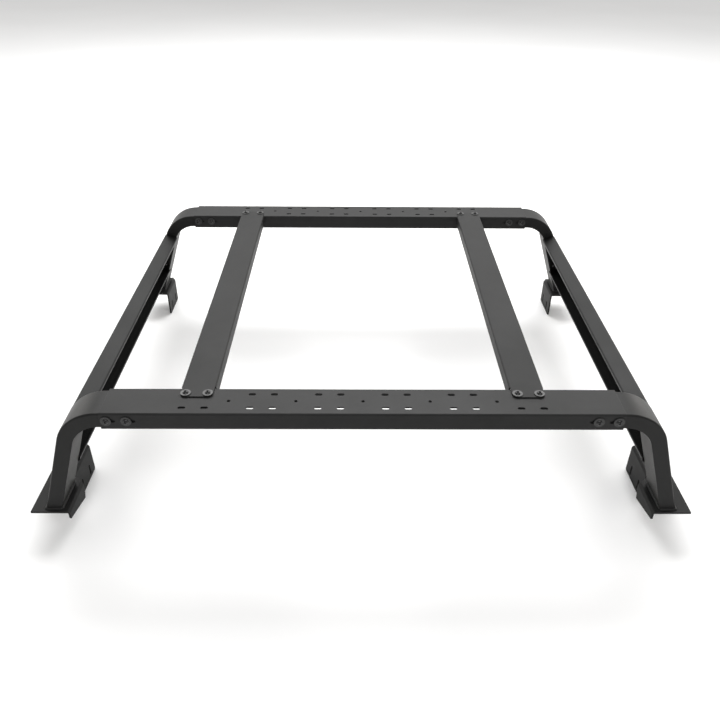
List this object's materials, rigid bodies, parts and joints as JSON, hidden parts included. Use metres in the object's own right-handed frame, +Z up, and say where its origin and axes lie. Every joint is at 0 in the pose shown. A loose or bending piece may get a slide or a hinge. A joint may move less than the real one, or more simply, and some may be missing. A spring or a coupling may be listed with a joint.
{
  "type": "ladder rack",
  "caption": "Low rack for a truck bed: two slotted crossbeams in sliding bent legs, two lengthwise bars on top, side channels and slotted feet.",
  "frame": {"origin": "middle of the footprint, level with the bottom edges of the foot flanges", "axes": "+X to the right side of the truck bed, +Y to the rear end of the rack, +Z up"},
  "size_m": [1.61, 1.236, 0.3915],
  "materials": {
    "beam_coating": "satin black powder coat with a fine orange-peel texture",
    "bar_coating": "satin black powder coat with a fine orange-peel texture",
    "upright_coating": "satin black powder coat with a fine orange-peel texture",
    "strip_coating": "satin black powder coat with a fine orange-peel texture",
    "rail_coating": "satin black powder coat with a fine orange-peel texture",
    "foot_coating": "satin black powder coat with a fine orange-peel texture",
    "bracket_coating": "satin black powder coat",
    "black_bolts": "black oxide, semi-gloss",
    "black_washers": "black zinc, satin",
    "zinc_nuts": "dull zinc plating"
  },
  "bodies": {
    "deck": {"front_crossbeam": "beam_coating", "rear_crossbeam": "beam_coating", "left_load_bar": "bar_coating", "right_load_bar": "bar_coating", "front_left_nut_plate": "bracket_coating", "front_right_nut_plate": "bracket_coating", "rear_left_nut_plate": "bracket_coating", "rear_right_nut_plate": "bracket_coating", "left_bar_bolts": "black_bolts", "right_bar_bolts": "black_bolts", "left_bar_washers": "black_washers", "right_bar_washers": "black_washers", "left_bar_nuts": "zinc_nuts", "right_bar_nuts": "zinc_nuts"},
    "left_side": {"front_left_upright": "upright_coating", "rear_left_upright": "upright_coating", "front_left_closing_strip": "strip_coating", "rear_left_closing_strip": "strip_coating", "left_side_rail": "rail_coating", "front_left_rail_tab": "bracket_coating", "rear_left_rail_tab": "bracket_coating", "left_rail_bolts": "black_bolts", "left_rail_nuts": "zinc_nuts", "front_left_foot": "foot_coating", "rear_left_foot": "foot_coating", "front_left_corner_bolts": "black_bolts", "rear_left_corner_bolts": "black_bolts", "front_left_corner_washers": "black_washers", "rear_left_corner_washers": "black_washers", "front_left_corner_nuts": "zinc_nuts", "rear_left_corner_nuts": "zinc_nuts"},
    "right_side": {"front_right_upright": "upright_coating", "rear_right_upright": "upright_coating", "front_right_closing_strip": "strip_coating", "rear_right_closing_strip": "strip_coating", "right_side_rail": "rail_coating", "front_right_rail_tab": "bracket_coating", "rear_right_rail_tab": "bracket_coating", "right_rail_bolts": "black_bolts", "right_rail_nuts": "zinc_nuts", "front_right_foot": "foot_coating", "rear_right_foot": "foot_coating", "front_right_corner_bolts": "black_bolts", "rear_right_corner_bolts": "black_bolts", "front_right_corner_washers": "black_washers", "rear_right_corner_washers": "black_washers", "front_right_corner_nuts": "zinc_nuts", "rear_right_corner_nuts": "zinc_nuts"}
  },
  "joints": [
    {"name": "left_side_slide", "type": "slide", "parent": "deck", "child": "left_side", "axis": [1, 0, 0], "range_m": [0, 0.016]},
    {"name": "right_side_slide", "type": "slide", "parent": "deck", "child": "right_side", "axis": [-1, 0, 0], "range_m": [0, 0.016]}
  ]
}
